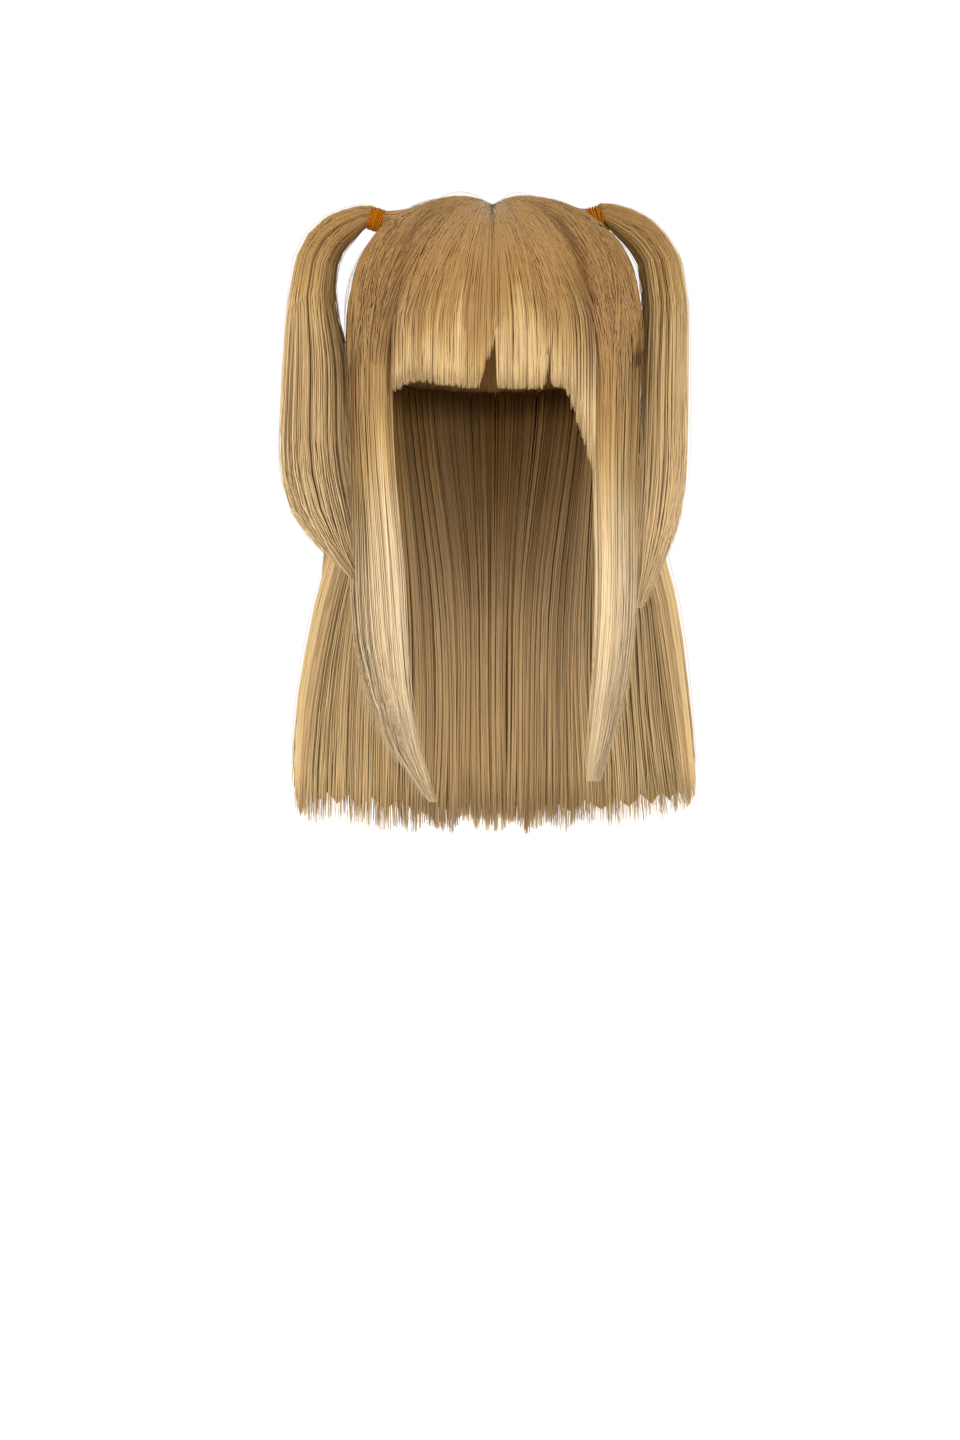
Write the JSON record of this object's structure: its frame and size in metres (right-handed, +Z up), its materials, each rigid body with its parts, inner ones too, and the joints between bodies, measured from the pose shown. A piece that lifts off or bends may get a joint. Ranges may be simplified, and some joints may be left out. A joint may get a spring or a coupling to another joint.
{
  "type": "pigtail wig",
  "caption": "Long wig with a centre parting, a blunt fringe, long face-framing side locks, loose hair down the back and high pigtails held by elastic ties.",
  "frame": {"origin": "the top of the head that wears the wig, inside the crown, on the middle line of the head", "axes": "+Z up, -Y the way the face looks, +X to the right as seen from the front"},
  "size_m": [0.2521, 0.219, 0.381],
  "materials": {
    "crown_hair": "silky synthetic hair, dark blonde at the roots",
    "pale_hair": "silky synthetic hair, pale golden towards the tips",
    "back_hair": "silky synthetic hair, golden blonde",
    "pigtail_hair": "silky synthetic hair, golden blonde",
    "elastic": "wound orange-brown elastic"
  },
  "bodies": {
    "root": {"crown_hair": "crown_hair", "fringe": "pale_hair", "side_lock_left": "pale_hair", "side_lock_right": "pale_hair", "back_hair": "back_hair", "pigtail_left": "pigtail_hair", "pigtail_right": "pigtail_hair", "hair_tie_left": "elastic", "hair_tie_right": "elastic"}
  },
  "joints": []
}
